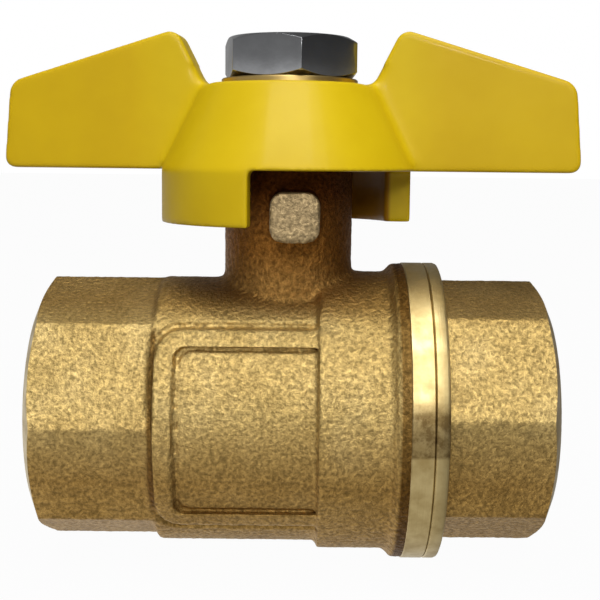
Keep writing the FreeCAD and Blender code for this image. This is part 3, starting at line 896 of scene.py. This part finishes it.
def makeBall():
    b = floatingBall
    deselect()
    bpy.ops.mesh.primitive_uv_sphere_add(segments=128, ring_count=64, radius=b["radius"], location=centre)
    ball = named("polished_ball")
    past = b["overrun"]
    port = turned("port", [(-past, b["port"]), (past, b["port"])], foot=axisFoot)
    slot = block("slot", (-b["slotHalf"], -past, b["slotFloor"]), (b["slotHalf"], past, past))
    for tool in (port, slot):
        tool.data.transform(Matrix.Translation(centre) @ Matrix.Rotation(butterfly["rest"], 4, "Z"))
    combine(ball, "DIFFERENCE", port, slot)
    smooth(surfaced(ball, chrome), 30)
    finished(ball, "ball_set", "ball_chrome", "ball")


print("body and cap")
makeBody()
makeCap()
print("handle")
makeHandle()
print("nut, washer and ball")
makeNut()
makeWasher()
makeBall()

for name, material in (("stem", stemBrass), ("inlet_seat", ptfe), ("outlet_seat", ptfe),
                       ("joint_seal", ptfe), ("thrust_washer", ptfe),
                       ("lower_stem_ring", rubber), ("upper_stem_ring", rubber)):
    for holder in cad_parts[name].material_slots:
        holder.material = material


studio = {
    "distance": 118.85 * mm,
    "height": 25.68 * mm,
    "side": 1.27 * mm,
    "pitch": math.radians(6.89),
    "roll": math.radians(0.6),
    "lens": 69.24,
    "floorSize": 6,
    "floorGlow": 0.97,
    "roomLight": 1.06,
    "roomHeights": [(0.1, 1.0), (0.42, 1.0), (0.52, 0.34), (0.85, 0.18)],
    "roomSides": [(0.0, 1.0), (0.7, 0.25)],
    "lights": (  # name, place, aim, size in metres, power in watts
        ("top", (0, -0.12, 0.36), (0, 0, 0), 0.24, 0.95),
        ("frontTop", (0.04, -0.30, 0.24), (0, 0, 0), 0.34, 1.08),
        ("flash", (0.02, -0.34, 0.12), (0, 0, 0.01), 0.04, 0.16),
    ),
}


# the first shader, turned to the second for what the camera sees directly, as far as share goes
def seenByCamera(tree, first, second, end, share=1.0):
    rays = node(tree, "LightPath")
    seen = node(tree, "Math", operation="MULTIPLY")
    seen.inputs[1].default_value = share
    tree.links.new(rays.outputs["Is Camera Ray"], seen.inputs[0])
    blend = node(tree, "MixShader")
    tree.links.new(seen.outputs[0], blend.inputs[0])
    tree.links.new(first.outputs[0], blend.inputs[1])
    tree.links.new(second.outputs[0], blend.inputs[2])
    tree.links.new(blend.outputs[0], tree.nodes[end].inputs["Surface"])


def makeStage():
    deselect()
    bpy.ops.mesh.primitive_plane_add(size=studio["floorSize"], location=(centre.x, 0, cadLow.z))
    floor = bpy.context.object
    floor.name = "floor"
    material, tree, shader = newMaterial("pale floor")
    shader.inputs["Base Color"].default_value = (0.28, 0.28, 0.28, 1)
    shader.inputs["Roughness"].default_value = 0.9
    shader.inputs["Specular IOR Level"].default_value = 0.0
    glow = node(tree, "Emission", Strength=1.0)
    seenByCamera(tree, shader, glow, "Material Output", studio["floorGlow"])
    floor.data.materials.append(material)
    floor.visible_glossy = False


def areaLight(name, spot, aim, size, power):
    light = bpy.data.lights.new(name, "AREA")
    light.energy = power
    light.size = size
    holder = bpy.data.objects.new(name, light)
    bpy.context.scene.collection.objects.link(holder)
    holder.location = centre + Vector(spot)
    holder.rotation_euler = (Vector(aim) - Vector(spot)).to_track_quat("-Z", "Y").to_euler()


# a white backdrop, and a room for the reflections that is bright below and to one side
def makeLights():
    for light in studio["lights"]:
        areaLight(*light)
    world = bpy.data.worlds.new("studio")
    bpy.context.scene.world = world
    world.use_nodes = True
    tree = world.node_tree
    backdrop = tree.nodes["Background"]
    backdrop.inputs["Color"].default_value = (1, 1, 1, 1)
    room = node(tree, "Background", Strength=studio["roomLight"])
    split = node(tree, "SeparateXYZ")
    tree.links.new(node(tree, "TexCoord").outputs["Generated"], split.inputs[0])
    heights = ramp(tree, between(tree, split.outputs["Z"], -1, 1), studio["roomHeights"])
    sides = ramp(tree, between(tree, split.outputs["X"], -0.2, 1), studio["roomSides"])
    tree.links.new(multiplied(tree, heights, sides), room.inputs["Color"])
    seenByCamera(tree, room, backdrop, "World Output")


def makeCamera():
    s = studio
    camera = bpy.data.cameras.new("camera")
    camera.lens = s["lens"]
    camera.sensor_width = 36
    camera.clip_start = 0.005
    holder = bpy.data.objects.new("camera", camera)
    bpy.context.scene.collection.objects.link(holder)
    tilt = Matrix.Rotation(math.pi / 2 - s["pitch"], 4, "X") @ Matrix.Rotation(s["roll"], 4, "Z")
    stand = centre + Vector((s["side"], -s["distance"], s["height"]))
    holder.matrix_world = Matrix.Translation(stand) @ tilt
    bpy.context.scene.camera = holder


print("stage, lights and camera")
makeStage()
makeLights()
makeCamera()
bpy.context.scene.view_settings.view_transform = "Standard"
